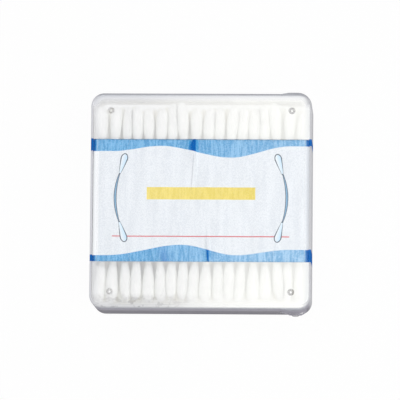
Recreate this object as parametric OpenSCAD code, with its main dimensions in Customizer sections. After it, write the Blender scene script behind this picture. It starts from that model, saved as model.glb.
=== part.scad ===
// Cotton swab box: a hinged clear plastic box, a printed paper sleeve and a hundred swabs.
// X runs from the opening side to the hinge side, Y along the swabs and Z up from the table.
// The box is sized from the swabs outwards, so its outside sizes are worked out further down.

/* [Swabs] */
// Length of a swab, tip to tip
swab_len = 73.2; // [62:0.1:80]
// Largest diameter of a cotton head
head_d = 4.1; // [3.6:0.05:4.6]
// Length of a cotton head
head_len = 14.5; // [11:0.5:18]
// Length of the rounded end of a cotton head
head_nose = 4.2; // [3:0.1:5]
// Cotton beyond the end of the stick
tip_cotton = 3; // [2:0.1:4]
// Cotton's thickness where the head meets the bare stick
cotton_edge = 0.2; // [0.1:0.05:0.4]
// Diameter of the rolled paper stick
stick_d = 2.4; // [1.8:0.1:2.8]
// Clearance of the stick in its head, on the radius
stick_fit = 0.02; // [0.01:0.01:0.05]

/* [Packing] */
// Swabs side by side in a full lower layer
lower_count = 17; // [8:1:20]
// Swabs side by side in the top layer
top_count = 18; // [8:1:20]
// Layers below the top one
lower_layers = 5; // [3:1:7]
// Room between the heads of a lower layer
side_gap = 0.52; // [0.4:0.01:0.7]
// Room between the heads of the top layer
top_side_gap = 0.24; // [0.15:0.01:0.3]
// Room between the heads of two lower layers
layer_gap = 0.25; // [0.15:0.01:0.5]
// Room below the top layer
top_layer_gap = 0.12; // [0.1:0.01:0.5]
// How far every other swab of the top layer sits up
top_lift = 0.6; // [0.3:0.05:1]
// Largest turn of a swab out of line, in degrees
yaw_play = 0.35; // [0:0.01:0.36]

/* [Paper sleeve] */
// Width of the sleeve along the swabs
sleeve_w = 45.9; // [36:0.1:60]
// Middle of the sleeve, from the middle of the box towards the swabs' rear ends
sleeve_y = 0.25; // [-4:0.05:4]
// Thickness of the paper
paper_t = 0.25; // [0.15:0.01:0.3]
// Room between the paper and what it lies against
paper_gap = 0.05; // [0.03:0.01:0.1]
// Outer radius of the sleeve's upper corners
sleeve_top_r = 3; // [2.6:0.1:3.4]
// Outer radius of the sleeve's lower corners
sleeve_low_r = 2; // [1.5:0.1:2.2]

/* [Print] */
// Thickness of the print
print_t = 0.04; // [0.03:0.01:0.06]
// Where the rear wave field turns, across the box
rear_wave_x = [-33, -15, 11, 33]; // [-40:0.5:40]
// Width of the rear wave field at its turns
rear_wave_w = [4.5, 2.5, 6.8, 2.5]; // [1:0.1:8]
// Where the front wave field turns, across the box
front_wave_x = [-35, -7, 13, 33]; // [-40:0.5:40]
// Width of the front wave field at its turns
front_wave_w = [2.4, 6.4, 2.6, 4.7]; // [1:0.1:8]
// Length of the yellow bar
bar_len = 40.5; // [20:0.5:60]
// Width of the yellow bar
bar_w = 4.6; // [3:0.1:8]
// Middle of the yellow bar, from the middle of the sleeve
bar_y = 2.7; // [-3:0.1:3]
// Length of the red rule
rule_len = 66; // [40:1:68]
// Width of the red rule
rule_w = 0.4; // [0.2:0.05:0.8]
// Red rule, from the front edge of the sleeve
rule_inset = 9.55; // [9:0.05:14]
// Printed swab's stick, at its middle, to the side of the sleeve
figure_inset = 7.6; // [4:0.1:12]
// Tips of the printed swabs to the edges of the sleeve
figure_margin = 6.1; // [5:0.1:7]
// Middle of the printed swabs, from the middle of the sleeve
figure_y = 1; // [-2:0.1:2]
// How far a printed stick bows out
figure_bow = 1.6; // [0.5:0.1:3]
// Width of a printed stick at its middle
figure_stick = 1.05; // [0.6:0.05:1.5]
// Width of a printed stick at its ends
figure_stick_end = 0.5; // [0.3:0.05:0.6]
// Largest radius of a printed head
figure_head_r = 1.4; // [1:0.1:2]
// Length of a printed head
figure_head_len = 8.1; // [6:0.1:9]
// Turn of a printed head towards the middle, in degrees
figure_lean = 16; // [0:1:30]
// Width of a printed head's outline
figure_line = 0.3; // [0.2:0.05:0.5]
// Room between two inks
ink_gap = 0.1; // [0.05:0.01:0.3]

/* [Box] */
// Room between the swabs' ends and the tray's lip, with the swabs in the middle
end_room = 2.1; // [1.8:0.1:4]
// Room between the sleeve and the lid's top
head_room = 1.3; // [1:0.1:3]
// Wall thickness of the tray
tray_wall = 1; // [0.8:0.05:1.1]
// Thickness of the tray's floor
floor_t = 1; // [0.8:0.05:2]
// Wall thickness of the lid
lid_wall = 0.8; // [0.6:0.05:1.1]
// Thickness of the lid's top
top_t = 0.9; // [0.7:0.05:1.5]
// Depth of the lid, from its top to the tray's rim
lid_depth = 11; // [10:0.1:12.5]
// Outer radius of the upright corners
corner_r = 4.8; // [4:0.1:5]
// Rounding of the box's upper and lower edges
edge_r = 0.8; // [0.4:0.05:1]
// Rounding of the inside edges
inner_edge_r = 0.5; // [0.3:0.05:0.8]
// Gap between the tray's rim and the lid's edge
rim_gap = 0.15; // [0.1:0.01:0.3]

/* [Lip] */
// Thickness of the tray's lip
lip_t = 0.5; // [0.4:0.05:0.8]
// Height of the lip above the rim
lip_h = 1.7; // [1:0.1:2.5]
// Depth of the lip's root below the rim
lip_root = 2.4; // [1.5:0.1:4]
// Clearance between the lip and the lid's wall
lip_fit = 0.2; // [0.15:0.01:0.3]
// Bevel on the lip's outer top edge
lip_bevel = 0.3; // [0.2:0.05:0.35]

/* [Hinge] */
// Hinge axis to the box's rear face, and to the tray's rim above it
hinge_inset = 6; // [5.5:0.1:6.5]
// Diameter of a hinge pin
pin_d = 2.6; // [2:0.1:3]
// Clearance of the pin in its bore, on the radius
pin_fit = 0.05; // [0.03:0.01:0.1]
// How far a pin stands out of its boss
pin_proud = 0.5; // [0.4:0.1:1.5]
// Bevel on the pin's end
pin_bevel = 0.3; // [0.2:0.05:0.5]
// Radius of the ear round its bore
ear_r = 5; // [4.5:0.1:5.5]
// How far an ear stands out of the lid's side
ear_proud = 0.5; // [0.3:0.05:0.8]
// Length over which an ear rises out of the lid's side
ear_ramp = 2.5; // [1:0.1:3]
// Radius of the boss round the bore, at its foot
boss_r = 3.2; // [2.8:0.1:3.6]
// Thickness of the boss round the bore, at its top
boss_wall = 1.1; // [0.8:0.1:1.2]
// Height of the boss
boss_h = 0.45; // [0.2:0.05:0.8]
// Sideways gap between an ear and the tray
ear_gap = 0.2; // [0.15:0.01:0.4]
// Gap round the ear in the tray's side
pocket_gap = 0.7; // [0.5:0.05:1]
// Gap round the hinge between the tray's corner and the lid
swing_gap = 0.2; // [0.15:0.01:0.4]

/* [Lid studs] */
// Outer diameter of a stud
stud_d = 2.5; // [1.5:0.1:4]
// Diameter of the dimple in a stud
stud_dimple_d = 1.3; // [0.8:0.1:1.4]
// Height of a stud under the lid's top
stud_h = 0.35; // [0.2:0.05:0.6]
// Stud's centre to the lid's front or rear side
stud_inset_x = 7.45; // [6:0.05:12]
// Stud's centre to the lid's left or right side
stud_inset_y = 6.3; // [6:0.05:12]

/* [Hidden] */
$fn = 48;
eps = 0.01;
layers = lower_layers + 1;
layer_names = [for (k = [1:layers]) str(k)];

head_r = head_d / 2;
pitch = head_d + side_gap;
top_pitch = head_d + top_side_gap;
stack_w = max(lower_count * pitch, top_count * top_pitch);
layer_step = sqrt(pow(head_d + layer_gap, 2) - pow(pitch / 2, 2));

sleeve_half = stack_w / 2 + paper_gap + paper_t;
lip_in_x = sleeve_half + 2 * paper_gap;
lip_in_y = swab_len / 2 + end_room;
to_outside = lip_t + lip_fit + lid_wall;
half_x = lip_in_x + to_outside;
half_y = lip_in_y + to_outside;

sleeve_low = floor_t + paper_gap;
first_axis = sleeve_low + paper_t + paper_gap + head_r;
top_axis = first_axis + (lower_layers - 1) * layer_step + head_d + top_layer_gap;
sleeve_high = top_axis + top_lift + head_r + paper_gap + paper_t;
box_h = sleeve_high + head_room + top_t;
rim_z = box_h - lid_depth;

hinge_x = half_x - hinge_inset;
hinge_z = rim_z - hinge_inset;
ear_in = half_y - lid_wall;
ear_out = half_y + ear_proud;
boss_out = ear_out + boss_h;
pin_end = boss_out + pin_proud;
pocket_y = ear_in - ear_gap;
backing_y = pocket_y - tray_wall;
pocket_r = ear_r + pocket_gap;
relief_r = sqrt(2) * hinge_inset + swing_gap;

slide_room = backing_y - swab_len / 2 - 2 * paper_gap;

// A rounded oblong, standing on its middle
module oblong(half_w, half_d, r) {
    square([2 * half_w, 2 * (half_d - r)], center = true);
    square([2 * (half_w - r), 2 * half_d], center = true);
    for (x = [-1, 1], y = [-1, 1])
        translate([x * (half_w - r), y * (half_d - r)]) circle(r);
}

// Half of an upright section, with its lower outer edge rounded
module half_section(half_w, h, f) {
    translate([0, f]) square([half_w, h - f]);
    square([half_w - f, h]);
    translate([half_w - f, f]) circle(f);
}

// A rounded block on z = 0 whose lower edge is rounded all the way round
module rounded_block(half_w, half_d, h, r, f) {
    for (m = [0, 1]) mirror([0, m, 0])
        translate([-(half_w - r), 0, 0]) rotate([90, 0, 90])
            linear_extrude(2 * (half_w - r)) half_section(half_d, h, f);
    for (m = [0, 1]) mirror([m, 0, 0]) {
        translate([half_w - r, half_d - r, 0]) rotate([90, 0, 0])
            linear_extrude(2 * (half_d - r)) half_section(r, h, f);
        for (n = [0, 1]) mirror([0, n, 0])
            translate([half_w - r, half_d - r, 0])
                rotate_extrude(angle = 90) half_section(r, h, f);
    }
}

// The same block with its rounded edge on top, at height top_z
module upper_block(half_w, half_d, h, r, f, top_z) {
    translate([0, 0, top_z]) mirror([0, 0, 1]) rounded_block(half_w, half_d, h, r, f);
}

// Places its child in the hinge plane of the left side and of the right side
module both_sides() {
    for (m = [0, 1]) mirror([0, m, 0])
        translate([hinge_x, 0, hinge_z]) rotate([90, 0, 0]) mirror([0, 0, 1]) children();
}

// Outline in the side of the tray inside which the ear turns, grown by a margin
module pocket_outline(margin) {
    r = pocket_r + margin;
    circle(r);
    translate([0, -r]) square([hinge_inset + margin, r + hinge_inset + margin]);
    translate([-r, 0]) square([r, hinge_inset + margin]);
}

module lip_ring() {
    low = rim_z - lip_root;
    difference() {
        union() {
            translate([0, 0, low]) linear_extrude(lip_root)
                oblong(half_x - tray_wall / 2, half_y - tray_wall / 2, corner_r - tray_wall / 2);
            translate([0, 0, rim_z - eps]) linear_extrude(lip_h - lip_bevel + eps)
                oblong(lip_in_x + lip_t, lip_in_y + lip_t, corner_r - lid_wall - lip_fit);
            translate([0, 0, rim_z]) linear_extrude(lip_h)
                oblong(lip_in_x + lip_t - lip_bevel, lip_in_y + lip_t - lip_bevel,
                       corner_r - lid_wall - lip_fit - lip_bevel);
        }
        translate([0, 0, low - eps]) linear_extrude(lip_root + lip_h + 2 * eps)
            oblong(lip_in_x, lip_in_y, corner_r - to_outside);
    }
}

module tray() {
    color([0.90, 0.92, 0.95, 0.4]) {
        difference() {
            union() {
                difference() {
                    rounded_block(half_x, half_y, rim_z, corner_r, edge_r);
                    translate([0, 0, floor_t])
                        rounded_block(half_x - tray_wall, half_y - tray_wall, rim_z,
                                      corner_r - tray_wall, inner_edge_r);
                }
                lip_ring();
                intersection() {
                    both_sides() translate([0, 0, backing_y])
                        linear_extrude(tray_wall + ear_gap) pocket_outline(tray_wall);
                    rounded_block(half_x, half_y, rim_z, corner_r, edge_r);
                }
            }
            both_sides() translate([0, 0, pocket_y])
                linear_extrude(2 * corner_r) pocket_outline(0);
        }
        both_sides() hinge_pin();
    }
}

module hinge_pin() {
    root_y = pocket_y - tray_wall / 2;
    translate([0, 0, root_y]) cylinder(h = pin_end - pin_bevel - root_y, d = pin_d);
    translate([0, 0, pin_end - pin_bevel])
        cylinder(h = pin_bevel, d1 = pin_d, d2 = pin_d - 2 * pin_bevel);
}

// The lid's outside where the ears are: it rises out of the sides over a ramp
module ear_envelope(low_z) {
    foot_x = hinge_x - ear_r;
    intersection() {
        upper_block(half_x, ear_out, box_h - low_z, corner_r + ear_proud, edge_r, box_h);
        translate([0, 0, low_z]) linear_extrude(box_h) for (m = [0, 1]) mirror([0, m])
            polygon([[foot_x, 0], [foot_x, half_y], [foot_x + ear_ramp, ear_out],
                     [2 * half_x, ear_out], [2 * half_x, 0]]);
    }
}

// Flat outline of an ear, round below the bore and joined to the lid above it
module ear_outline() {
    circle(ear_r);
    translate([-ear_r, 0]) square([ear_r + hinge_inset, hinge_inset + 2 * rim_gap]);
}

// The boss round the bore, from the ear's inner face outwards
module bore_boss() {
    translate([0, 0, ear_in]) cylinder(h = ear_out - ear_in, r = boss_r);
    translate([0, 0, ear_out])
        cylinder(h = boss_h, r1 = boss_r, r2 = pin_d / 2 + pin_fit + boss_wall);
}

module lid() {
    low_z = rim_z + rim_gap;
    color([0.92, 0.94, 0.97, 0.4])
        difference() {
            union() {
                upper_block(half_x, half_y, box_h - low_z, corner_r, edge_r, box_h);
                ear_envelope(low_z);
                intersection() {
                    ear_envelope(hinge_z - ear_r);
                    both_sides() translate([0, 0, ear_in])
                        linear_extrude(ear_out - ear_in) ear_outline();
                }
                both_sides() bore_boss();
            }
            difference() {
                upper_block(half_x - lid_wall, half_y - lid_wall, box_h - top_t - floor_t,
                            corner_r - lid_wall, inner_edge_r, box_h - top_t);
                lid_studs();
            }
            both_sides() cylinder(h = ear_in - ear_gap / 2, r = relief_r);
            both_sides() cylinder(h = pin_end, r = pin_d / 2 + pin_fit);
        }
}

module lid_studs() {
    for (x = [-1, 1], y = [-1, 1])
        translate([x * (half_x - stud_inset_x), y * (half_y - stud_inset_y),
                   box_h - top_t - stud_h])
            difference() {
                cylinder(h = stud_h + eps, d = stud_d);
                translate([0, 0, -eps]) cylinder(h = stud_h / 2, d = stud_dimple_d);
            }
}

// Section of the sleeve across the swabs, grown outwards by g
module sleeve_section(g) {
    top_half = top_count * top_pitch / 2 + paper_t + 2 * paper_gap;
    hull() {
        for (s = [-1, 1]) {
            translate([s * (sleeve_half - sleeve_low_r), sleeve_low + sleeve_low_r])
                circle(sleeve_low_r + g);
            translate([s * (top_half - sleeve_top_r), sleeve_high - sleeve_top_r])
                circle(sleeve_top_r + g);
        }
    }
}

// The loop between two growths of the sleeve's section, w wide
module sleeve_loop(inner_g, outer_g, w) {
    translate([0, sleeve_y + w / 2, 0]) rotate([90, 0, 0]) linear_extrude(w)
        difference() {
            sleeve_section(outer_g);
            sleeve_section(inner_g);
        }
}

module paper_sleeve() {
    color([0.93, 0.95, 0.98]) sleeve_loop(-paper_t, 0, sleeve_w);
}

// Eased share of the way from one place to the next
function ease(x, from, to) =
    let (u = min(1, max(0, (x - from) / (to - from)))) u * u * (3 - 2 * u);

// Width at x of a wave field that turns at the places in turns
function field_width(x, turns, widths) =
    widths[0] + (widths[1] - widths[0]) * ease(x, turns[0], turns[1])
              + (widths[2] - widths[1]) * ease(x, turns[1], turns[2])
              + (widths[3] - widths[2]) * ease(x, turns[2], turns[3]);

// A wave field along the rear edge of the sleeve
module wave_outline(turns, widths) {
    reach = sleeve_half + 1;
    steps = 40;
    xs = [for (i = [0:steps]) -reach + 2 * reach * i / steps];
    polygon(concat(
        [for (x = xs) [x, sleeve_w / 2 - field_width(x, turns, widths)]],
        [[reach, sleeve_w], [-reach, sleeve_w]]
    ));
}

// Cuts its children's outline out of a film of ink on top of the sleeve
module printed() {
    intersection() {
        sleeve_loop(0, print_t, sleeve_w);
        translate([0, sleeve_y, sleeve_high / 2]) linear_extrude(box_h) children();
    }
}

// Its children without what later inks cover
module under_figures() {
    difference() {
        children();
        offset(delta = ink_gap) swab_figures(false);
    }
}

module bar_outline() {
    translate([0, bar_y]) square([bar_len, bar_w], center = true);
}

module rule_outline() {
    translate([0, rule_inset - sleeve_w / 2]) square([rule_len, rule_w], center = true);
}

module print_waves() {
    color([0.42, 0.66, 0.86]) printed() under_figures() difference() {
        union() {
            wave_outline(rear_wave_x, rear_wave_w);
            mirror([0, 1]) wave_outline(front_wave_x, front_wave_w);
        }
        offset(delta = ink_gap) {
            bar_outline();
            rule_outline();
        }
    }
}

module print_bar() {
    color([0.95, 0.87, 0.50]) printed() under_figures() difference() {
        bar_outline();
        offset(delta = ink_gap) rule_outline();
    }
}

module print_rule() {
    color([0.86, 0.45, 0.45]) printed() under_figures() rule_outline();
}

// A printed head, pointing along +X from the end of its stick
module figure_head(r, length) {
    foot_r = figure_stick_end / 2;
    hull() {
        translate([foot_r, 0]) circle(foot_r, $fn = 12);
        translate([length - 1.5 * r, 0]) scale([1.5, 1]) circle(r, $fn = 20);
    }
}

// Half the length of a printed stick, and its bow there at y for a given height of the bow
function stick_reach() =
    sleeve_w / 2 - figure_margin - figure_head_len * cos(figure_lean);
function bow_at(y, bow) =
    let (reach = stick_reach(), r = (reach * reach + bow * bow) / (2 * bow))
    sqrt(max(0, r * r - y * y)) - r + bow;

// A printed swab, bent outwards like a bracket, with solid heads or only their outlines
module swab_figure(hollow) {
    reach = stick_reach();
    ys = [for (i = [-6:6]) reach * i / 6];
    spread = (figure_stick - figure_stick_end) / 2;
    translate([sleeve_half - figure_inset - figure_bow, 0]) {
        polygon(concat(
            [for (y = ys) [bow_at(y, figure_bow + spread) + figure_stick_end / 2, y]],
            [for (i = [len(ys) - 1:-1:0])
                [bow_at(ys[i], figure_bow - spread) - figure_stick_end / 2, ys[i]]]
        ));
        for (m = [0, 1]) mirror([0, m])
            translate([0, reach - figure_stick_end / 2]) rotate(90 + figure_lean) difference() {
                figure_head(figure_head_r, figure_head_len + figure_stick_end / 2);
                if (hollow) translate([figure_stick_end / 2 + figure_line, 0])
                    figure_head(figure_head_r - figure_line, figure_head_len - 2 * figure_line);
            }
    }
}

module swab_figures(hollow) {
    translate([0, figure_y]) for (m = [0, 1]) mirror([m, 0]) swab_figure(hollow);
}

module print_swabs() {
    color([0.25, 0.47, 0.78]) printed() swab_figures(true);
}

// Scatter between -1 and 1 that stays the same for a swab
function scatter(k, i, salt) = sin(137.5 * (i + 1) * (salt + 1) + 61 * k + 23 * salt);

// Layer k counts from 1 at the bottom: odd lower layers hold one swab fewer
function is_top(k) = k == layers;
function layer_count(k) = is_top(k) ? top_count : lower_count - k % 2;
function layer_pitch(k) = is_top(k) ? top_pitch : pitch;
function layer_axis(k) = is_top(k) ? top_axis : first_axis + (k - 1) * layer_step;

// Puts its child at each swab's place in layer k, along the swab's own axis
module each_swab(k) {
    for (i = [0:layer_count(k) - 1]) {
        x = (i - (layer_count(k) - 1) / 2) * layer_pitch(k);
        lift = is_top(k) ? top_lift * (i % 2) : 0;
        slide = slide_room * (0.53 * scatter(k, i, 1) - 0.47);
        translate([x, slide, layer_axis(k) + lift])
            rotate([0, 0, yaw_play * sin(47 * i + 90 * k)]) children();
    }
}

// Radius of a cotton head's taper at u, from 0 at the stick to 1 where its nose begins
function taper(u) =
    stick_d / 2 + cotton_edge + (head_r - stick_d / 2 - cotton_edge) * pow(sin(90 * u), 1.3);

// Half section of a cotton head with its blind bore, the nose pointing up
module head_section() {
    nose_z = head_len - head_nose;
    bore_r = stick_d / 2 + stick_fit;
    bore_end = head_len - tip_cotton + stick_fit;
    polygon(concat(
        [[bore_r, 0]],
        [for (u = [0:0.2:1]) [taper(u), nose_z * u]],
        [for (a = [25, 50, 70]) [head_r * cos(a), nose_z + head_nose * sin(a)]],
        [[0, head_len], [0, bore_end], [bore_r, bore_end]]
    ));
}

module cotton_heads(k) {
    color([0.97, 0.97, 0.95])
        each_swab(k) for (m = [0, 1]) mirror([0, m, 0])
            translate([0, swab_len / 2 - head_len, 0]) rotate([-90, 0, 0])
                rotate_extrude() head_section();
}

module paper_sticks(k) {
    stick_len = swab_len - 2 * tip_cotton;
    color([0.93, 0.92, 0.88])
        each_swab(k) translate([0, stick_len / 2, 0]) rotate([90, 0, 0])
            cylinder(h = stick_len, d = stick_d);
}

tray();
lid();
paper_sleeve();
print_waves();
print_bar();
print_rule();
print_swabs();
for (k = [1:layers]) {
    paper_sticks(k);
    cotton_heads(k);
}
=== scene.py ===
import math
import random

import bmesh
import bpy
from mathutils import Matrix, Vector, noise


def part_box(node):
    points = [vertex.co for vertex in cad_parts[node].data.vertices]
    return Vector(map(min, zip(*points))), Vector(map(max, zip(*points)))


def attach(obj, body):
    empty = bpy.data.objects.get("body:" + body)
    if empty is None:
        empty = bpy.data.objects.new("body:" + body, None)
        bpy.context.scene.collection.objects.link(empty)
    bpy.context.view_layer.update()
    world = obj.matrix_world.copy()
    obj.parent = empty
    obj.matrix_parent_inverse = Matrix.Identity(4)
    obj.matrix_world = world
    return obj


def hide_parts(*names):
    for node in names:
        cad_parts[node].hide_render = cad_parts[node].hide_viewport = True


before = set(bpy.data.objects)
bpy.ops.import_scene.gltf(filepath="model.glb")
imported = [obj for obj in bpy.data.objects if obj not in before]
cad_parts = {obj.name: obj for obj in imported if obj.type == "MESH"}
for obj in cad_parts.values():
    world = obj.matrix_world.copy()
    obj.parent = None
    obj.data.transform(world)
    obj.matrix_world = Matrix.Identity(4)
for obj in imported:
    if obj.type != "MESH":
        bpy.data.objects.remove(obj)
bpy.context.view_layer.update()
mm = 0.001


# The view, the light and the table
# The box lies flat and is seen from above, tilted a little towards its near side and its hinge side.
# A long lens stands well back from it, under a plain soft light that is stronger from the right.
view_distance = 1700 * mm
view_width = 148.75 * mm
tilt_near = math.radians(5.95)
tilt_right = math.radians(2.50)
roll = math.radians(0.53)
lid_low, lid_high = (Vector(corner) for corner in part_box("lid"))

toward_camera = Vector((math.tan(tilt_right), -math.tan(tilt_near), 1)).normalized()
level_up = (Vector((0, 1, 0)) - toward_camera * toward_camera.y).normalized()
level_right = level_up.cross(toward_camera)
image_right = math.cos(roll) * level_right + math.sin(roll) * level_up
image_up = math.cos(roll) * level_up - math.sin(roll) * level_right

lens = bpy.data.cameras.new("view")
lens.sensor_width = 36
lens.lens = lens.sensor_width * view_distance / view_width
lens.shift_x = -0.65 / 400
lens.shift_y = 0.75 / 400
lens.clip_end = 10
camera = bpy.data.objects.new("view", lens)
eye = Vector((0, 0, lid_high.z)) + toward_camera * view_distance
camera.matrix_world = Matrix.Translation(eye) @ Matrix(
    (image_right, image_up, toward_camera)).transposed().to_4x4()
bpy.context.collection.objects.link(camera)
bpy.context.scene.camera = camera
bpy.context.scene.view_settings.view_transform = "Standard"


class Wire:
    """One output of a shader node, which Python sums turn into Math nodes."""

    def __init__(self, tree, socket=None):
        self.tree = tree
        self.socket = socket

    def node(self, kind, settings=None, inputs=(), output=0):
        """Adds a node: its settings first, then the values or wires of its sockets."""
        made = self.tree.nodes.new(kind)
        for name, value in (settings or {}).items():
            if name == "stops":
                ramp = made.color_ramp.elements
                while len(ramp) < len(value):
                    ramp.new(0.5)
                for stop, (place, colour) in zip(ramp, value):
                    stop.position = place
                    stop.color = (*colour, 1)
            else:
                setattr(made, name, value)
        pairs = inputs.items() if isinstance(inputs, dict) else enumerate(inputs)
        for key, value in pairs:
            if isinstance(value, Wire):
                self.tree.links.new(value.socket, made.inputs[key])
            else:
                made.inputs[key].default_value = value
        return Wire(self.tree, made.outputs[output] if len(made.outputs) else None)

    def math(self, operation, *values):
        return self.node("ShaderNodeMath", {"operation": operation}, values)

    def __add__(self, other):
        return self.math("ADD", self, other)

    __radd__ = __add__

    def __mul__(self, other):
        return self.math("MULTIPLY", self, other)

    __rmul__ = __mul__

    def __sub__(self, other):
        return self.math("SUBTRACT", self, other)

    def __rsub__(self, other):
        return self.math("SUBTRACT", other, self)

    def __truediv__(self, other):
        return self.math("DIVIDE", self, other)

    def __pow__(self, other):
        return self.math("POWER", self, other)

    def __abs__(self):
        return self.math("ABSOLUTE", self)

    def step(self, low, high):
        """0 below low, 1 above high and smooth between."""
        return self.node("ShaderNodeMapRange", {"interpolation_type": "SMOOTHSTEP"},
                         {"Value": self, "From Min": low, "From Max": high})

    def clip(self):
        return self.math("MINIMUM", self.math("MAXIMUM", self, 0), 1)

    def least(self, other):
        return self.math("MINIMUM", self, other)

    def most(self, other):
        return self.math("MAXIMUM", self, other)

    def mix(self, first, second):
        """A colour between two, with this wire as the share of the second."""
        def whole(colour):
            return colour if isinstance(colour, Wire) else (*colour, 1)
        return self.node("ShaderNodeMix", {"data_type": "RGBA"},
                         {0: self, 6: whole(first), 7: whole(second)}, output=2)


def new_material(name):
    """An empty node material and a wire in its tree to start from."""
    material = bpy.data.materials.new(name)
    material.use_nodes = True
    material.node_tree.nodes.clear()
    return material, Wire(material.node_tree)


def close_material(start, shader):
    start.node("ShaderNodeOutputMaterial", None, {"Surface": shader})


def principled(start, **sockets):
    """A Principled shader with the named sockets set."""
    inputs = {name.replace("_", " "): value for name, value in sockets.items()}
    return start.node("ShaderNodeBsdfPrincipled", None, inputs)


def finish_surface(start, **sockets):
    """Ends a material in one Principled shader."""
    close_material(start, principled(start, **sockets))


def place_of(start):
    """The three Object coordinates of a surface, in millimetres."""
    place = start.node("ShaderNodeTexCoord", output=3)
    parts = [start.node("ShaderNodeSeparateXYZ", None, [place], output=i) for i in range(3)]
    return [part / mm for part in parts]


def seen_share(start, directly, otherwise):
    """A number that is one value for what the camera sees, also through clear pieces."""
    rays = [start.node("ShaderNodeLightPath", output=name)
            for name in ("Is Camera Ray", "Is Transmission Ray")]
    seen = rays[0].most(rays[1])
    return otherwise + seen * (directly - otherwise)


table_white = (0.995, 0.995, 0.995)
sky = bpy.data.worlds.new("sky")
sky.use_nodes = True
sky.node_tree.nodes.clear()
sky_start = Wire(sky.node_tree)
sky_start.node("ShaderNodeOutputWorld", None, {"Surface": sky_start.node(
    "ShaderNodeBackground", None,
    {"Color": (*table_white, 1), "Strength": seen_share(sky_start, 1.0, 0.58)})})
bpy.context.scene.world = sky

table_mesh = bpy.data.meshes.new("table_top")
shape = bmesh.new()
bmesh.ops.create_grid(shape, x_segments=1, y_segments=1, size=0.9)
shape.to_mesh(table_mesh)
shape.free()
table_top = bpy.data.objects.new("table_top", table_mesh)
bpy.context.collection.objects.link(table_top)
table_finish, start = new_material("paper_white_table")
table_diffuse = start.node("ShaderNodeBsdfDiffuse", None, {"Color": (0.9, 0.9, 0.9, 1)})
table_glow = start.node("ShaderNodeEmission", None, {"Color": (*table_white, 1), "Strength": 1.0})
close_material(start, start.node(
    "ShaderNodeMixShader", None, {0: seen_share(start, 0.97, 0.0), 1: table_diffuse, 2: table_glow}))
table_mesh.materials.append(table_finish)


def soft_lamp(name, place, size, power):
    """A square lamp aimed at the middle of the box."""
    light = bpy.data.lights.new(name, "AREA")
    light.size = size
    light.energy = power
    lamp = bpy.data.objects.new(name, light)
    place = Vector(place)
    lamp.matrix_world = Matrix.Translation(place) @ (-place).to_track_quat("-Z", "Y").to_matrix().to_4x4()
    bpy.context.collection.objects.link(lamp)


soft_lamp("right_lamp", (0.26, -0.12, 0.58), 0.45, 1.82)
soft_lamp("far_lamp", (-0.20, 0.35, 0.80), 0.5, 1.36)


def add_piece(name, mesh, body, slot, material, *stands_for):
    """Adds a finished mesh to the scene, on its body and with its finish."""
    piece = bpy.data.objects.new(name, mesh)
    bpy.context.collection.objects.link(piece)
    mesh.materials.append(material)
    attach(piece, body)
    if stands_for:
        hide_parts(*stands_for)
    return piece


def finished_mesh(name, shape):
    """Turns a shape drawn in millimetres into a smooth mesh in metres."""
    bmesh.ops.recalc_face_normals(shape, faces=shape.faces)
    bmesh.ops.scale(shape, vec=(mm, mm, mm), verts=shape.verts)
    mesh = bpy.data.meshes.new(name)
    shape.to_mesh(mesh)
    shape.free()
    for face in mesh.polygons:
        face.use_smooth = True
    return mesh


def dress(node, material):
    """Gives a CAD node its material."""
    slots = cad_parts[node].data.materials
    slots.clear()
    slots.append(material)


# The printed paper sleeve
# One strip of coated paper is wrapped round the swabs. It is pressed out against the lid's side walls,
# and creases lift it to the lid's top. The print is two wave fields, a bar, a rule and two swabs.
lid_wall = 0.8
top_t = 0.9
ear_proud = 0.5
boss_h = 0.45
half_x = lid_high.x / mm
half_y = lid_high.y / mm - ear_proud - boss_h
lid_top = lid_high.z / mm
ceiling = lid_top - top_t
sleeve_low, sleeve_high = (Vector(corner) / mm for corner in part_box("paper_sleeve"))
paper_t = 0.12
sleeve_w = sleeve_high.y - sleeve_low.y
sleeve_y = (sleeve_high.y + sleeve_low.y) / 2
sleeve_side = half_x - lid_wall - 0.04
lip_top = 18.5


def crease(x, y, place, lean, left, right, reach, rear):
    """Height share of a crease that starts at an edge of the strip and fades out inwards."""
    run = sleeve_w / 2 - (y if rear else -y)
    off = x - place - lean * run
    left *= 0.3 + 0.7 * min(1.0, run / 2.5)
    return math.exp(-(off / (left if off < 0 else right)) ** 2) * max(0.0, 1 - run / reach) ** 0.5


def paper_lift(x, y):
    """How far the strip's top rises above its flat lie, in millimetres."""
    lift = 0.30 + 0.14 * math.sin(x * 0.34 + 0.05 * y) + 0.12 * math.sin(x * 0.83 + 1.2 - 0.11 * y)
    lift += 0.16 * noise.noise(Vector((x * 0.16, y * 0.09, 3.7)))
    lift += 1.4 * crease(x, y, -2.4, 0.02, 2.5, 0.35, 15, True)
    lift += 1.35 * crease(x, y, 2.9, -0.02, 0.9, 0.35, 13, False)
    lift += 0.75 * crease(x, y, -13.8, 0.02, 3.0, 2.0, 9, False)
    return max(0.0, lift)


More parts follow.
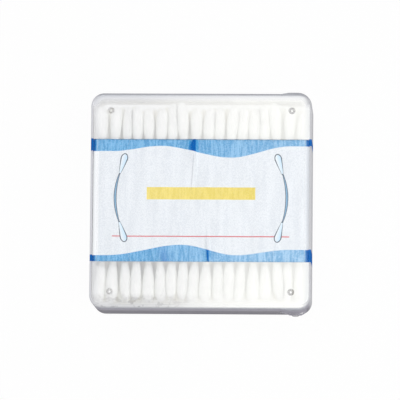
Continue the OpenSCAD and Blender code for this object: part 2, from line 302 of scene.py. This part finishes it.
def sleeve_mesh():
    """The strip as a loop: a rounded section, drawn out along the swabs and then creased."""
    shape = bmesh.new()
    low_z = sleeve_low.z + paper_t
    high_z = sleeve_high.z
    low_half = sleeve_high.x - 0.1
    corners = [(-low_half, low_z), (low_half, low_z), (sleeve_side, lip_top),
               (sleeve_side, high_z), (-sleeve_side, high_z), (-sleeve_side, lip_top)]
    verts = [shape.verts.new((x, -sleeve_w / 2, z)) for x, z in corners]
    shape.faces.new(verts)
    for picked, radius in ((verts[0:2], 2.0), (verts[3:5], 1.0)):
        bmesh.ops.bevel(shape, geom=picked, affect="VERTICES", offset=radius, segments=7,
                        profile=0.5, material=-1)
    bmesh.ops.delete(shape, geom=list(shape.faces), context="FACES_ONLY")
    top = [e for e in shape.edges if min(v.co.z for v in e.verts) > high_z - 0.01 and e.calc_length() > 20]
    bmesh.ops.subdivide_edges(shape, edges=top, cuts=260)
    drawn = bmesh.ops.extrude_edge_only(shape, edges=list(shape.edges))
    moved = [v for v in drawn["geom"] if isinstance(v, bmesh.types.BMVert)]
    bmesh.ops.translate(shape, verts=moved, vec=(0, sleeve_w, 0))
    long_edges = [e for e in shape.edges if e.calc_length() > sleeve_w - 0.01]
    bmesh.ops.subdivide_edges(shape, edges=long_edges, cuts=45)
    for v in shape.verts:
        share = min(1.0, max(0.0, (v.co.z - high_z + 1.0) / 1.0))
        share *= min(1.0, max(0.0, (sleeve_side - abs(v.co.x)) / 3.0))
        v.co.z = min(v.co.z + share * paper_lift(v.co.x, v.co.y), ceiling + 0.06)
    bmesh.ops.translate(shape, verts=shape.verts, vec=(0, sleeve_y, 0))
    return finished_mesh("sleeve", shape)


rear_wave_x = (-33, -15, 11, 33)
rear_wave_w = (4.5, 2.5, 6.8, 2.5)
front_wave_x = (-35, -7, 13, 33)
front_wave_w = (2.4, 6.4, 2.6, 4.7)
bar_size = (40.5, 4.6)
bar_y = 2.7
rule_size = (66, 0.4)
rule_y = -13.4
figure_x = 32.0
figure_margin = 6.1
figure_y = 1.0
figure_bow = 1.6
figure_stick = 1.05
figure_stick_end = 0.5
figure_head_r = 1.4
figure_head_len = 8.1
figure_lean = math.radians(16)
figure_line = 0.36
paper_white = ((0.83, 0.865, 0.905), (0.735, 0.775, 0.825))
paper_painted_highlight = (0.95, 0.97, 0.99)
paper_painted_shade = (0.60, 0.62, 0.66)
sky_blue_ink = ((0.035, 0.29, 0.60), (0.16, 0.46, 0.77))
pale_blue_ink = ((0.15, 0.40, 0.68), (0.38, 0.62, 0.86))
near_lid_blue_painted = (0.02, 0.20, 0.56)
pressed_blue_painted = (0.004, 0.115, 0.42)
yellow_ink = ((0.77, 0.61, 0.07), (0.92, 0.76, 0.21))
red_ink = (0.66, 0.12, 0.14)
line_ink = (0.03, 0.05, 0.085)
stick_ink = (0.22, 0.42, 0.62)
head_white = (0.84, 0.89, 0.94)
head_fill = (0.50, 0.74, 0.93)


def box_mask(u, v, half_u, half_v, soft):
    """1 inside an upright rectangle about the origin of u and v."""
    return abs(u).step(half_u + soft, half_u - soft) * abs(v).step(half_v + soft, half_v - soft)


def field_width(x, turns, widths):
    """Width of a wave field at x: it eases from each of its turns to the next."""
    width = widths[0]
    for i in range(3):
        width = width + (widths[i + 1] - widths[i]) * x.step(turns[i], turns[i + 1])
    return width


def wave_masks(x, y):
    """1 on the two wave fields, with y taken from the middle of the strip."""
    rear = (y - sleeve_w / 2 + field_width(x, rear_wave_x, rear_wave_w)).step(-0.1, 0.1)
    front = (0 - y - sleeve_w / 2 + field_width(x, front_wave_x, front_wave_w)).step(-0.1, 0.1)
    return rear.most(front)


def head_mask(along, across, radius, length):
    """1 inside a printed head: it widens from its foot and closes in a long round."""
    foot = figure_stick_end / 2
    shoulder = length - 1.5 * radius
    cone = foot + (radius - foot) * (along / shoulder).clip() ** 0.85
    close = (along - shoulder).most(0) / (1.5 * radius)
    dome = radius * (1 - close * close).most(0) ** 0.5
    return (cone.least(dome) - abs(across)).step(-0.07, 0.07) * along.step(-0.05, 0.05)


def figure_masks(x, y):
    """Outline, stick and head fill of the two printed swabs, and how far along its width a head is."""
    reach = sleeve_w / 2 - figure_margin - figure_head_len * math.cos(figure_lean)
    radius = (reach ** 2 + figure_bow ** 2) / (2 * figure_bow)
    u = abs(x) - (figure_x - figure_bow)
    v = abs(y - figure_y)
    bend = u - ((radius ** 2 - v * v).most(0) ** 0.5 - (radius - figure_bow))
    half = figure_stick_end / 2 + (figure_stick - figure_stick_end) / 2 * (1 - (v / reach) ** 2)
    on_stick = v.step(reach + 0.05, reach - 0.05)
    stick = (half - abs(bend)).step(-0.07, 0.07) * on_stick
    core = (half - 0.24 - abs(bend)).step(-0.07, 0.07) * on_stick
    lean_cos, lean_sin = math.cos(figure_lean), math.sin(figure_lean)
    rise = v - reach + figure_stick_end / 2
    along = rise * lean_cos - u * lean_sin
    across = u * lean_cos + rise * lean_sin
    head = head_mask(along, across, figure_head_r, figure_head_len)
    fill = head_mask(along - figure_line, across, figure_head_r - figure_line,
                     figure_head_len - 2 * figure_line)
    return stick.most(head), core, fill, across * (2 * x.step(-1, 1) - 1)


def sleeve_print():
    material, start = new_material("printed_sleeve_paper")
    x, y, z = place_of(start)
    y = y - sleeve_y
    place = start.node("ShaderNodeTexCoord", output=3)
    streak_place = start.node("ShaderNodeMapping", None, {"Vector": place, "Scale": (1, 0.14, 1)})
    streaks = start.node("ShaderNodeTexNoise", None, {"Vector": streak_place, "Scale": 1500.0, "Detail": 3.0})
    bands = start.node("ShaderNodeTexNoise", None, {"Vector": streak_place, "Scale": 420.0, "Detail": 3.0})
    mottle = start.node("ShaderNodeTexNoise", None, {"Vector": place, "Scale": 2000.0, "Detail": 2.0})
    fibre = start.node("ShaderNodeTexNoise", None, {"Vector": place, "Scale": 3000.0, "Detail": 3.0})
    grain = ((streaks - 0.5) * 3.6 + (mottle - 0.5) * 2.4 + (bands - 0.5) * 1.2 + 0.5).clip()
    on_top = z.step(5.0, 6.0)
    near = z.step(ceiling - 0.8, ceiling - 0.15)
    from_wall = (sleeve_side - abs(x)) / (1 + 0.3 * x.step(-5, 5))
    beside = from_wall.step(1.55, 0.3)
    touch = z.step(ceiling - 0.25, ceiling + 0.02).most(beside)
    paper = ((bands - 0.5) * 2.6 + (mottle - 0.5) * 4.2 + 0.4).clip().mix(*paper_white)
    # Painted highlight: the paper is lighter on the strip's left shoulder.
    paper = (0.8 * (0 - x).step(sleeve_side - 2.7, sleeve_side - 1.5)).mix(paper, paper_painted_highlight)
    # Painted shade: the paper is darker on the right shoulder, where it curves down beside the wall.
    paper = (0.9 * x.step(sleeve_side - 1.5, sleeve_side - 0.1)).mix(paper, paper_painted_shade)
    # The inks change tone from left to right: the blue grows lighter and the yellow darker.
    ink_rightward = (x / (2 * half_x) + 0.5 - 0.006 * y).step(0.1, 1.1)
    blue = ink_rightward.mix(grain.mix(*sky_blue_ink), grain.mix(*pale_blue_ink))
    # Painted: the blue turns deeper where the strip lies near or against the plastic, standing in for the milky
    # light between paper and plastic that contact takes away, and for shade on the curve beside the walls.
    blue = touch.mix(near.mix(blue, near_lid_blue_painted), pressed_blue_painted)
    yellow = (0.35 + 0.5 * grain - 0.4 * ink_rightward).clip().mix(*yellow_ink)
    outline, stick, head, across = figure_masks(x, y)
    colour = (wave_masks(x, y) * on_top).mix(paper, blue)
    colour = (box_mask(x, y - bar_y, bar_size[0] / 2, bar_size[1] / 2, 0.06) * on_top).mix(colour, yellow)
    colour = (box_mask(x, y - rule_y, rule_size[0] / 2, rule_size[1] / 2, 0.06) * on_top).mix(colour, red_ink)
    colour = (outline * on_top).mix(colour, line_ink)
    colour = (stick * on_top).mix(colour, stick_ink)
    colour = (head * on_top).mix(colour, (0.4 + 0.45 * across).clip().mix(head_white, head_fill))
    # Painted shadow: a faint grey line along a fold near the middle of the strip.
    fold = (abs(x + 3.3 - 0.07 * (y - 10))).step(0.3, 0.05) * y.step(2, 7) * y.step(19, 16)
    colour = (0.35 * fold).mix(colour, (0.25, 0.25, 0.32))
    # Painted shadow: a dark line along both long edges of the strip.
    painted_edge_shadow = abs(y).step(sleeve_w / 2 - 0.28, sleeve_w / 2 - 0.1)
    colour = (0.45 * painted_edge_shadow).mix(colour, (0.05, 0.12, 0.25))
    bump = start.node("ShaderNodeBump", None, {"Strength": 0.15, "Distance": 0.00005, "Height": fibre})
    finish_surface(start, Base_Color=colour, Roughness=0.5 + 0.1 * fibre, Normal=bump,
                   Specular_IOR_Level=0.03)
    return material


sleeve = add_piece("printed_paper_sleeve", sleeve_mesh(), "base", "sleeve_paper", sleeve_print(),
                   "paper_sleeve", "print_waves", "print_bar", "print_rule", "print_swabs")
wall = sleeve.modifiers.new("paper", "SOLIDIFY")
wall.thickness = paper_t * mm
wall.offset = -1


# The swabs
# Each is a rolled paper stick with cotton wound on both ends. The cotton is loose fibre, fuller near
# the tip and thin where it ends on the stick, and no two heads are quite alike.
head_rings = [(0.0, 1.20), (1.0, 1.36), (2.8, 1.64), (4.8, 1.90), (6.8, 2.09), (8.8, 2.20), (10.6, 2.18),
              (11.8, 2.02), (12.7, 1.77), (13.4, 1.43), (14.0, 0.97), (14.4, 0.48)]
head_len = 14.5
head_turns = 16
cotton_painted_shade = (0.91, 0.86, 0.74)
cotton_shades = ((0.93, 0.935, 0.865), (0.985, 0.985, 0.93))


def cotton_template():
    """One even head along +Y, turned from its profile, with a closed nose and inner end."""
    shape = bmesh.new()
    profile = [shape.verts.new((radius, along, 0)) for along, radius in head_rings]
    nose = shape.verts.new((0, head_len, 0))
    heel = shape.verts.new((0, 0.25, 0))
    line = [heel] + profile + [nose]
    edges = [shape.edges.new(pair) for pair in zip(line, line[1:])]
    bmesh.ops.spin(shape, geom=line + edges, cent=(0, 0, 0), axis=(0, 1, 0), dvec=(0, 0, 0),
                   angle=2 * math.pi, steps=head_turns, use_merge=True, use_duplicate=False)
    bmesh.ops.remove_doubles(shape, verts=shape.verts, dist=0.001)
    bmesh.ops.recalc_face_normals(shape, faces=shape.faces)
    mesh = bpy.data.meshes.new("cotton_template")
    shape.to_mesh(mesh)
    shape.free()
    return mesh


def head_places(node):
    """Where each head of a CAD layer ends on its stick and at its tip, in millimetres."""
    shape = bmesh.new()
    shape.from_mesh(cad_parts[node].data)
    bmesh.ops.remove_doubles(shape, verts=shape.verts, dist=1e-6)
    seen = set()
    places = []
    for first in shape.verts:
        if first.index in seen:
            continue
        seen.add(first.index)
        island, queue = [], [first]
        while queue:
            v = queue.pop()
            island.append(v.co / mm)
            for e in v.link_edges:
                other = e.other_vert(v)
                if other.index not in seen:
                    seen.add(other.index)
                    queue.append(other)
        side = math.copysign(1, sum(p.y for p in island))
        tip = max(island, key=lambda p: p.y * side)
        inner = min(p.y * side for p in island)
        heel = [p for p in island if p.y * side < inner + 0.02]
        middle = sum(heel, Vector()) / len(heel)
        places.append((Vector((middle.x, inner * side, tip.z)), tip))
    shape.free()
    places.sort(key=lambda pair: (pair[1].y > 0, pair[1].x))
    return places


def cotton_layer(name, places, template, draw, fullness, lean):
    """All the heads of a layer, each a copy of the template with its own lumps and lean."""
    shape = bmesh.new()
    for heel, tip in places:
        before = len(shape.verts)
        shape.from_mesh(template)
        shape.verts.ensure_lookup_table()
        salt = Vector((draw.uniform(-90, 90), draw.uniform(-90, 90), draw.uniform(-90, 90)))
        full = draw.uniform(*fullness)
        stretch = draw.uniform(-lean, lean) / 90
        for v in shape.verts[before:]:
            radial = Vector((v.co.x, 0, v.co.z))
            lump = noise.noise(Vector((v.co.x * 0.5, v.co.y * 0.16, v.co.z * 0.5)) + salt)
            fold = noise.noise(Vector((v.co.x * 1.6, v.co.y * 0.22, v.co.z * 1.6)) - salt)
            v.co += radial * (full - 1 + 0.09 * lump + 0.05 * fold)
            v.co.y *= 1 + stretch + 0.03 * lump
        away = math.radians(draw.uniform(-lean, lean))
        axis = Matrix.Rotation(away, 3, "Z") @ (tip - heel).normalized()
        side = axis.cross(Vector((0, 0, 1))).normalized()
        basis = Matrix((side, axis, side.cross(axis))).transposed().to_4x4()
        spin = Matrix.Rotation(draw.uniform(0, 2 * math.pi), 4, "Y")
        bmesh.ops.transform(shape, matrix=Matrix.Translation(heel) @ basis @ spin,
                            verts=shape.verts[before:])
    return finished_mesh(name, shape)


def cotton_fibre():
    material, start = new_material("wound_cotton")
    place = start.node("ShaderNodeTexCoord", output=3)
    along = start.node("ShaderNodeMapping", None, {"Vector": place, "Scale": (1, 0.12, 1),
                                                   "Rotation": (0, 0, 0.12)})
    strands = start.node("ShaderNodeTexNoise", None, {"Vector": along, "Scale": 3200.0, "Detail": 5.0,
                                                      "Roughness": 0.65})
    fuzz = start.node("ShaderNodeTexNoise", None, {"Vector": place, "Scale": 1500.0, "Detail": 6.0})
    colour = (0.3 + 0.6 * strands).clip().mix(*cotton_shades)
    # Painted shade: the lower layers' cotton is darker and warmer, standing in for shade among the heads and light
    # bounced off the beige sticks.
    low_shade_share = place_of(start)[2].step(24, 15)
    colour = (0.8 * low_shade_share).mix(colour, cotton_painted_shade)
    bump = start.node("ShaderNodeBump", None, {"Strength": 0.35, "Distance": 0.0002,
                                               "Height": strands * 0.7 + fuzz * 0.5})
    finish_surface(start, Base_Color=colour, Roughness=0.95, Normal=bump, Subsurface_Weight=1.0,
                   Subsurface_Radius=(1, 1, 1), Subsurface_Scale=2.5 * mm, Specular_IOR_Level=0.1)
    return material


def stick_paper():
    material, start = new_material("rolled_stick_paper")
    place = start.node("ShaderNodeTexCoord", output=3)
    grain = start.node("ShaderNodeTexNoise", None, {"Vector": place, "Scale": 1800.0, "Detail": 4.0})
    colour = grain.mix((0.82, 0.79, 0.72), (0.91, 0.89, 0.84))
    bump = start.node("ShaderNodeBump", None, {"Strength": 0.2, "Distance": 0.00005, "Height": grain})
    finish_surface(start, Base_Color=colour, Roughness=0.7, Normal=bump)
    return material


template = cotton_template()
cotton = cotton_fibre()
rolled_paper = stick_paper()
draw = random.Random(11)
head_nodes = sorted(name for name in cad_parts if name.startswith("cotton_heads_"))
for node in head_nodes:
    on_top = node == head_nodes[-1]
    fullness = (1.03, 1.14) if on_top else (0.92, 0.96)
    layer_mesh = cotton_layer(node, head_places(node), template, draw, fullness, 6.0 if on_top else 0.4)
    layer = add_piece(node.replace("heads", "layer"), layer_mesh, "base", "cotton", cotton, node)
    smooth = layer.modifiers.new("fullness", "SUBSURF")
    smooth.levels = 1
    smooth.render_levels = 1
    dress(node.replace("cotton_heads", "paper_sticks"), rolled_paper)


# The tray and the lid
# Both are thin mouldings of clear polypropylene. The lid's top is hazy on its inside face, except where
# the sleeve lies against it, and walls seen along their length turn grey, partly their own tint and partly
# painted reflection. The sleeve's blue that shows through the sides is painted on the walls.
stud_r = 1.25
dimple_r = 0.5
stud_inset = (7.45, 6.3)
corner_r = 4.8
rim_z = lid_top - 11
hinge_x = half_x - 6
hinge_z = rim_z - 6
haze_left_painted_shade = (0.79, 0.80, 0.815)
haze_right_tone = (0.95, 0.955, 0.925)
haze_side = (0.80, 0.815, 0.82)
haze_far = ((0.62, 0.635, 0.68), (0.78, 0.795, 0.82))
haze_dim = (0.42, 0.42, 0.43)
lid_end_grey = (0.375, 0.365, 0.42)
tray_end_grey = (0.27, 0.262, 0.295)
side_wall_painted_light = (0.53, 0.53, 0.555)
seam_grey = (0.22, 0.213, 0.24)
brim_grey = (0.40, 0.41, 0.445)
inner_grey = (0.81, 0.81, 0.865)
inner_low = (0.94, 0.94, 0.945)


def through_share(start):
    """Lets most of the light pass for shadows and for light that bounces inside the box."""
    rays = [start.node("ShaderNodeLightPath", output=name) for name in ("Is Shadow Ray", "Is Diffuse Ray")]
    return 1 - 0.92 * rays[0].most(rays[1])


def finish_plastic(start, colour, alpha, bump, gloss_share):
    """A see-through body with a faint gloss on it."""
    body = principled(start, Base_Color=colour, Roughness=0.6, Specular_IOR_Level=0.0,
                      Alpha=alpha.clip() * through_share(start), Normal=bump)
    gloss = start.node("ShaderNodeBsdfGlossy", None, {"Color": (1, 1, 1, 1), "Roughness": 0.16})
    close_material(start, start.node("ShaderNodeMixShader", None,
                                     {0: gloss_share * through_share(start), 1: body, 2: gloss}))


def outline_inset(x, y):
    """How far inside the box's rounded plan outline a place lies, in millimetres."""
    over_x = abs(x) - (half_x - corner_r)
    over_y = abs(y) - (half_y - corner_r)
    beyond = (over_x.most(0) ** 2 + over_y.most(0) ** 2) ** 0.5
    return corner_r - beyond - over_x.most(over_y).least(0)


def wall_finish(start, x, y, z, inset, end_colour):
    """Colour and alpha of the upright walls: grey on edge, partly painted reflection, and the sleeve's blue painted
    on where the sleeve presses behind them.
    """
    from_pin = ((x - hinge_x) ** 2 + (z - hinge_z) ** 2) ** 0.5
    pocket = from_pin.step(9.5, 8.5) * inset.step(1.3, 1.1) * z.step(rim_z - 0.1, rim_z - 0.2)
    outer = inset.step(0.35, 0.2).most(pocket)
    facing = start.node("ShaderNodeLayerWeight", None, {"Blend": 0.5}, output="Facing")
    grazing = facing.step(0.3, 0.85)
    on_side = (abs(x) - (half_x - corner_r)).step(3.4, corner_r)
    seam = z.step(rim_z - 0.6, rim_z - 0.2) * z.step(rim_z + 0.7, rim_z + 0.3)
    colour = (0.7 * seam).mix(end_colour, seam_grey)
    # Painted light: the walls on the box's left and right are lighter than the near and far walls, standing in for
    # the light and reflection they catch.
    colour = outer.mix(z.step(14, 2).mix(inner_grey, inner_low), on_side.mix(colour, side_wall_painted_light))
    proud = inset.step(0.02, -0.15)
    notch = abs(from_pin - 5.7).step(0.3, 0.15) * inset.step(1.3, 1.1)
    alpha = (0.04 + grazing * (0.70 + 0.23 * outer)).most(0.3 * proud).most(0.9 * notch)
    # The sleeve's blue that shows through the side walls is painted on them where the wave fields lie behind.
    on_left = (0 - x).step(half_x - 1.15, half_x - 0.8) * z.step(lid_top - 4.6, lid_top - 4.4)
    on_right = x.step(half_x - 1.3, half_x - 0.6) * z.step(4, 6)
    fields = wave_masks(x, y - sleeve_y) * abs(y - sleeve_y).step(sleeve_w / 2 + 0.05, sleeve_w / 2 - 0.05)
    return colour, alpha, fields, fields * on_left.most(on_right)


def lid_plastic():
    material, start = new_material("clear_lid_plastic")
    x, y, z = place_of(start)
    inset = outline_inset(x, y)
    colour, alpha, fields, painted_see_through_blue = wall_finish(start, x, y, z, inset, lid_end_grey)
    under = (z.step(ceiling - 0.45, ceiling - 0.3) * z.step(lid_top - top_t / 2, lid_top - top_t / 2 - 0.1)
             * inset.step(0.5, 0.7))
    band = abs(y - sleeve_y).step(sleeve_w / 2 + 0.1, sleeve_w / 2 - 0.1)
    rim = inset.step(4.2, 1.8)
    # Painted highlight: a thin light line in the lid's haze a little inside each side wall.
    gleam = abs(abs(x) - (half_x - 2.5)).step(0.35, 0.1)
    place = start.node("ShaderNodeTexCoord", output=3)
    cloud = start.node("ShaderNodeTexNoise", None, {"Vector": place, "Scale": 90.0, "Detail": 3.0})
    rightward_share = (x / (2 * half_x) + 0.5 + 0.3 * (cloud - 0.5)).step(0.0, 0.8)
    clear = 0.03 + 0.03 * cloud + 0.14 * gleam
    hazy = 0.42 + 0.24 * rightward_share + 0.10 * cloud + 0.26 * rim
    pressed = abs(x + 3.0).step(2.6, 1.4) * (y - sleeve_y).step(sleeve_w / 2 - 7, sleeve_w / 2 - 4)
    pressed = pressed.most(abs(x - 2.6).step(1.6, 0.8) * (sleeve_y - y).step(sleeve_w / 2 - 7, sleeve_w / 2 - 4))
    pressed = pressed.most(inset.step(2.4, 1.8) * inset.step(0.5, 0.7)) * band * z.step(ceiling - 3, ceiling - 2.8)
    clear = clear * (1 - 0.9 * pressed)
    alpha = alpha * (1 - 0.9 * pressed)
    veil = under * (hazy + band * (clear - hazy))
    dx = abs(x) - (half_x - stud_inset[0])
    dy = abs(y) - (half_y - stud_inset[1])
    radius = (dx * dx + dy * dy) ** 0.5
    ring = (radius.step(dimple_r - 0.2, dimple_r + 0.1) * radius.step(stud_r + 0.15, stud_r - 0.15)
            * z.step(lid_top - 2.2, lid_top - 2) * z.step(lid_top - 0.4, lid_top - 0.5))
    # Painted dark edge: the lid's rounded top edge is painted grey all round, wider at the far end, standing in for
    # the light the rounded plastic bends away; along the sides it is lighter on the left than on the right.
    on_side = (abs(x) - (half_x - corner_r)).step(1.0, corner_r - 0.3)
    brim = z.step(lid_top - 0.95, lid_top - 0.7) * inset.step(1.7 - 0.85 * on_side, 1.0 - 0.35 * on_side)
    far_end = y.step(half_y - 6, half_y - 3.5)
    brim = brim.most(z.step(lid_top - 0.3, lid_top - 0.1) * far_end * inset.step(2.8, 1.4)) * (1 - fields)
    # Painted shade: the haze, and the far rim's haze further down, turn darker towards the left, where less light
    # falls.
    haze = rightward_share.mix(haze_left_painted_shade, haze_right_tone)
    haze = (0.8 * x.step(half_x - 3.6, half_x - 1.2)).mix(haze, haze_side)
    brim_side = x.step(-20, 20).mix((0.72, 0.725, 0.77), (0.50, 0.505, 0.53))
    # The haze is darker in patches by the near left corner.
    corner_patches = start.node("ShaderNodeTexNoise", None, {"Vector": place, "Scale": 420.0, "Detail": 2.0})
    corner = (0 - y).step(half_y - 6, half_y - 3.6) * (0 - x).step(-6, 24)
    haze = (corner * (0.45 + 0.55 * corner_patches.step(0.5, 0.62))).mix(haze, haze_dim)
    far = y.step(-10, 10)
    haze = (far_end * inset.step(2.6, 0.9) * (1 - on_side)).mix(haze, rightward_share.mix(*haze_far))
    edge = inset.step(0.75 + 0.25 * far, 0.1 + 0.3 * far).most(on_side).mix(haze, on_side.mix(brim_grey, brim_side))
    colour = brim.mix(colour, edge)
    colour = under.mix(colour, haze)
    # Painted dark ring round each stud, standing in for the light bent at the stud's sides.
    colour = ring.mix(colour, (0.26, 0.255, 0.26))
    # Painted: the sleeve's blue seen through the walls.
    colour = (4 * painted_see_through_blue).clip().mix(colour, pressed_blue_painted)
    alpha = alpha.most(0.85 * brim).most(veil).most(0.55 * ring).most(0.98 * painted_see_through_blue)
    bump = start.node("ShaderNodeBump", None, {"Strength": 0.08, "Distance": 0.0004, "Height": cloud})
    finish_plastic(start, colour, alpha, bump, 0.02 * (1 - pressed))
    return material


def tray_plastic():
    material, start = new_material("clear_tray_plastic")
    x, y, z = place_of(start)
    colour, alpha, fields, painted_see_through_blue = wall_finish(start, x, y, z, outline_inset(x, y), tray_end_grey)
    place = start.node("ShaderNodeTexCoord", output=3)
    cloud = start.node("ShaderNodeTexNoise", None, {"Vector": place, "Scale": 90.0, "Detail": 3.0})
    # Painted: the sleeve's blue seen through the walls.
    colour = (4 * painted_see_through_blue).clip().mix(colour, pressed_blue_painted)
    alpha = (alpha + 0.05 * cloud).most(0.98 * painted_see_through_blue)
    bump = start.node("ShaderNodeBump", None, {"Strength": 0.08, "Distance": 0.0004, "Height": cloud})
    finish_plastic(start, colour, alpha, bump, 0.02)
    return material


dress("lid", lid_plastic())
dress("tray", tray_plastic())
